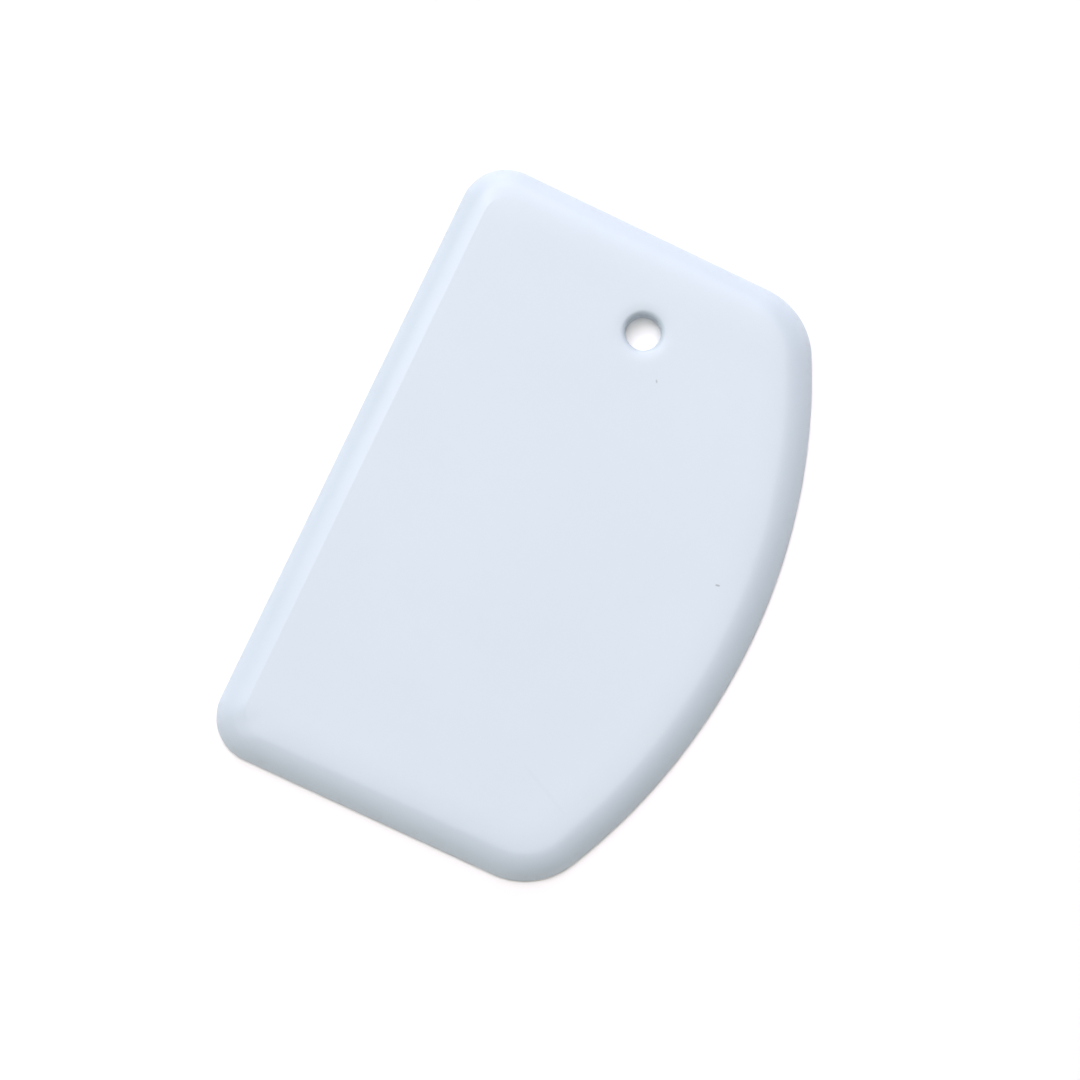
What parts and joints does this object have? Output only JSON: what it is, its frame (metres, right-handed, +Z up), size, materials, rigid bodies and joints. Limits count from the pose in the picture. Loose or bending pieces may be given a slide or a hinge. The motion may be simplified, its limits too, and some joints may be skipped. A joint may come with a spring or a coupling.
{
  "type": "dough scraper",
  "caption": "Flat white moulded dough scraper with a straight long edge, a curved long edge, a bevel all round and a hanging hole near one end.",
  "frame": {"origin": "middle of the footprint, on the flat back that the plate lies on", "axes": "+X along the straight edge with the hanging hole towards -X, +Y from the straight edge to the curved edge, +Z up through the thickness and out of the bevelled face"},
  "size_m": [0.14, 0.097, 0.0044],
  "materials": {
    "plastic": "satin, cool white, fine even mould texture"
  },
  "bodies": {
    "root": {"scraper_plate": "plastic"}
  },
  "joints": []
}
